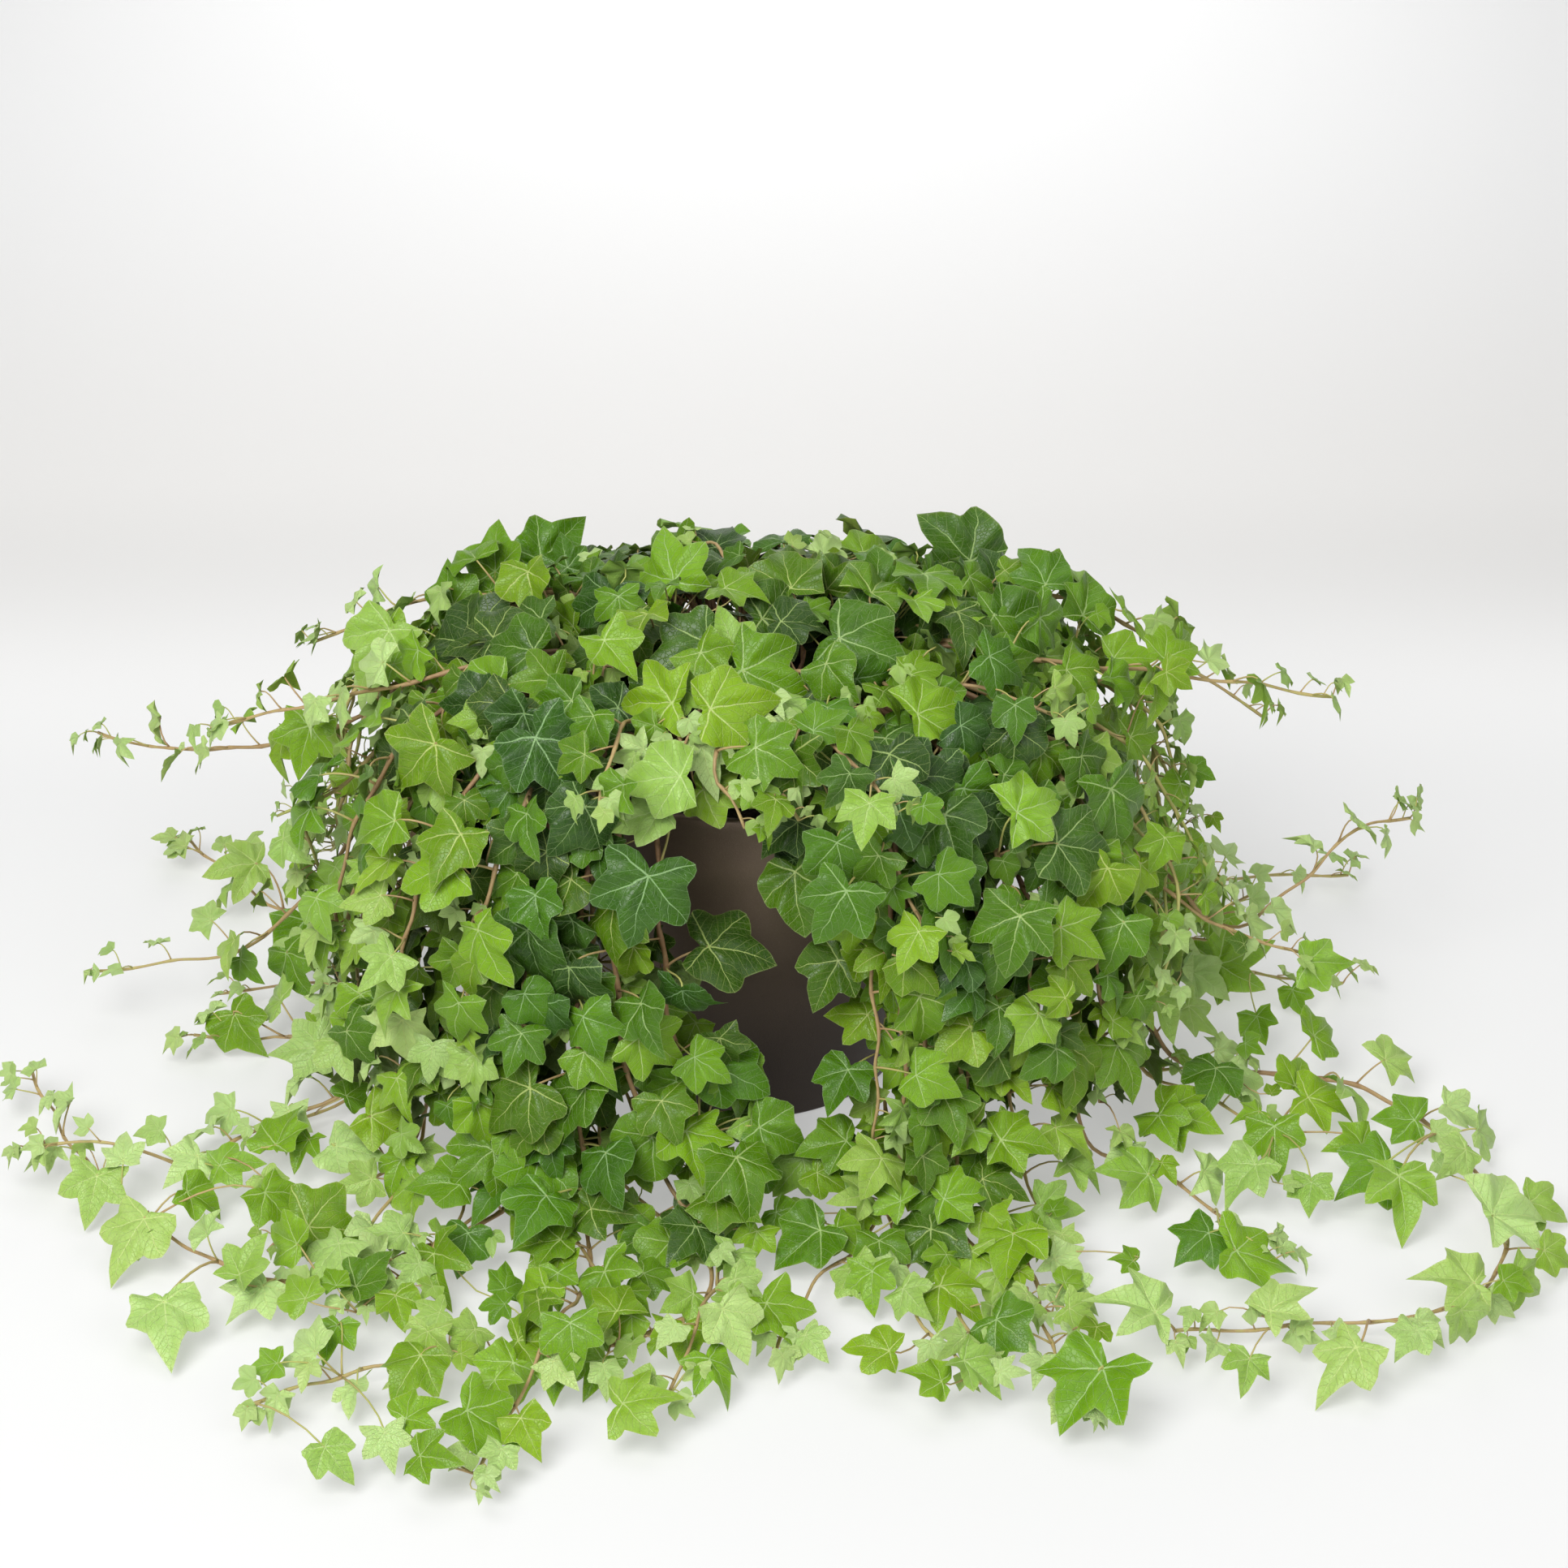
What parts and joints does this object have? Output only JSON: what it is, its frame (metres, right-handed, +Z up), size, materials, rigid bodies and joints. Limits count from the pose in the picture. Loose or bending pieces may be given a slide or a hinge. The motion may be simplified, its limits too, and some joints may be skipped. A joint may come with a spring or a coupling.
{
  "type": "potted ivy",
  "caption": "Trailing ivy in a round tapered planter: leafy stems mound over the rim, hang down all round and run out along the floor.",
  "frame": {"origin": "centre of the planter's flat foot, on the surface that it stands on", "axes": "+Z up along the planter's axis; the front, where the planter shows, is -Y; +X is to the right seen from the front"},
  "size_m": [1.0144, 0.9783, 0.3481],
  "materials": {
    "planter_glaze": "satin",
    "potting_soil": "matte",
    "ivy_leaf": "satin"
  },
  "bodies": {
    "root": {"planter": "planter_glaze", "soil": "potting_soil", "back_curtain_1": "ivy_leaf", "back_curtain_2": "ivy_leaf", "back_curtain_3": "ivy_leaf", "back_curtain_4": "ivy_leaf", "back_runner_1": "ivy_leaf", "back_runner_2": "ivy_leaf", "back_runner_3": "ivy_leaf", "back_runner_4": "ivy_leaf", "back_runner_5": "ivy_leaf", "crown_1": "ivy_leaf", "crown_2": "ivy_leaf", "crown_3": "ivy_leaf", "crown_4": "ivy_leaf", "crown_5": "ivy_leaf", "crown_6": "ivy_leaf", "crown_7": "ivy_leaf", "crown_8": "ivy_leaf", "crown_inner_1": "ivy_leaf", "crown_inner_2": "ivy_leaf", "crown_inner_3": "ivy_leaf", "curtain_front_left": "ivy_leaf", "curtain_left": "ivy_leaf", "curtain_left_front": "ivy_leaf", "curtain_left_side": "ivy_leaf", "curtain_right": "ivy_leaf", "curtain_right_front": "ivy_leaf", "front_spray": "ivy_leaf", "runner_front": "ivy_leaf", "runner_front_left": "ivy_leaf", "runner_front_loop": "ivy_leaf", "runner_front_right": "ivy_leaf", "runner_left": "ivy_leaf", "runner_left_long": "ivy_leaf", "runner_right": "ivy_leaf", "runner_right_back": "ivy_leaf", "runner_right_front": "ivy_leaf", "runner_right_long": "ivy_leaf", "shoot_left_high": "ivy_leaf", "shoot_left_low": "ivy_leaf", "shoot_left_middle": "ivy_leaf", "shoot_left_top": "ivy_leaf", "shoot_right_high": "ivy_leaf", "shoot_right_low": "ivy_leaf", "shoot_right_middle": "ivy_leaf", "shoot_right_top": "ivy_leaf"}
  },
  "joints": []
}
